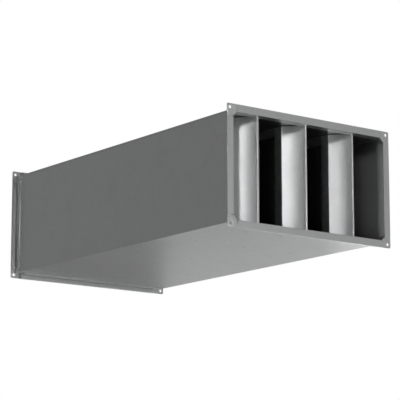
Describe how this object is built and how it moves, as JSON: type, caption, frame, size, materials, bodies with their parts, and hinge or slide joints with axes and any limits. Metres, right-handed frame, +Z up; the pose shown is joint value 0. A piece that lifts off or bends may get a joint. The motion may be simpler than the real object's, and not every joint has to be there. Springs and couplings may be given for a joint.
{
  "type": "duct sound attenuator",
  "caption": "Rectangular duct silencer: sheet casing with slide-on flange frames at both ends and upright absorbing baffles with rounded noses that quieten passing air.",
  "frame": {"origin": "centre of the underside of the flanges", "axes": "+Z up, Y along the air path with the baffle noses at the negative end, X across the baffles"},
  "size_m": [0.952, 1.8, 0.552],
  "materials": {
    "casing_sheet": "smooth galvanised sheet, satin",
    "flange_rail": "galvanised, satin",
    "corner_plate": "galvanised pressed plate, satin",
    "baffle_sheet": "smooth galvanised sheet, half gloss",
    "absorber_fleece": "black glass fleece over mineral wool",
    "rivet": "plain, satin"
  },
  "bodies": {
    "root": {"casing_bottom": "casing_sheet", "casing_top": "casing_sheet", "casing_left": "casing_sheet", "casing_right": "casing_sheet", "front_rail_bottom": "flange_rail", "front_rail_top": "flange_rail", "front_rail_left": "flange_rail", "front_rail_right": "flange_rail", "rear_rail_bottom": "flange_rail", "rear_rail_top": "flange_rail", "rear_rail_left": "flange_rail", "rear_rail_right": "flange_rail", "front_corner_bottom_left": "corner_plate", "front_corner_bottom_right": "corner_plate", "front_corner_top_left": "corner_plate", "front_corner_top_right": "corner_plate", "rear_corner_bottom_left": "corner_plate", "rear_corner_bottom_right": "corner_plate", "rear_corner_top_left": "corner_plate", "rear_corner_top_right": "corner_plate", "baffle_1_nose": "baffle_sheet", "baffle_2_nose": "baffle_sheet", "baffle_3_nose": "baffle_sheet", "baffle_1_tail": "baffle_sheet", "baffle_2_tail": "baffle_sheet", "baffle_3_tail": "baffle_sheet", "baffle_1_bottom_channel": "baffle_sheet", "baffle_2_bottom_channel": "baffle_sheet", "baffle_3_bottom_channel": "baffle_sheet", "baffle_1_top_channel": "baffle_sheet", "baffle_2_top_channel": "baffle_sheet", "baffle_3_top_channel": "baffle_sheet", "baffle_1_core": "absorber_fleece", "baffle_2_core": "absorber_fleece", "baffle_3_core": "absorber_fleece", "bottom_rivets": "rivet", "top_rivets": "rivet"}
  },
  "joints": []
}
